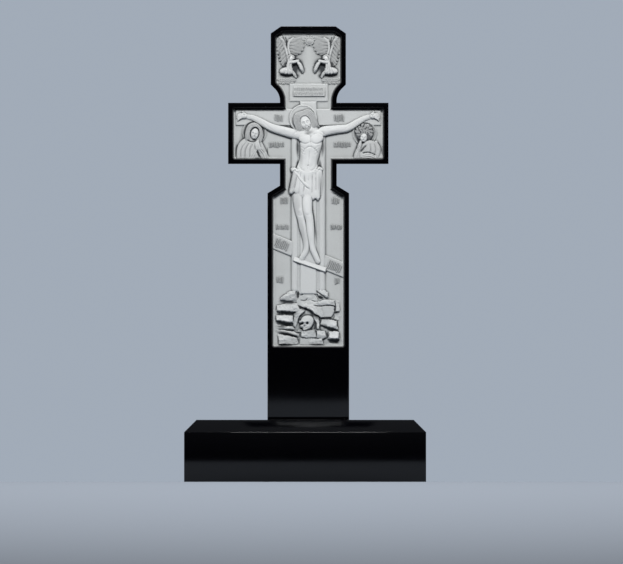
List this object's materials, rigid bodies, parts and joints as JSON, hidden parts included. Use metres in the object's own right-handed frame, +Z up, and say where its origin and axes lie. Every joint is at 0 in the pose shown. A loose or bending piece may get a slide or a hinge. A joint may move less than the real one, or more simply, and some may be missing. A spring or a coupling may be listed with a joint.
{
  "type": "orthodox cross headstone",
  "caption": "Cross-shaped headstone slab in polished black stone with a carved pale Crucifixion relief in a sunk field, standing on a chamfered plinth.",
  "frame": {"origin": "middle of the plinth's underside", "axes": "+Z up, the carved face looks along -Y, +X to the right as seen from the front"},
  "size_m": [0.605, 0.2, 1.139],
  "materials": {
    "polished_granite": "polished black granite with very fine grain",
    "carved_granite": "pale grey carved granite field inside a polished black rim"
  },
  "bodies": {
    "root": {"plinth": "polished_granite", "stele": "carved_granite"}
  },
  "joints": []
}
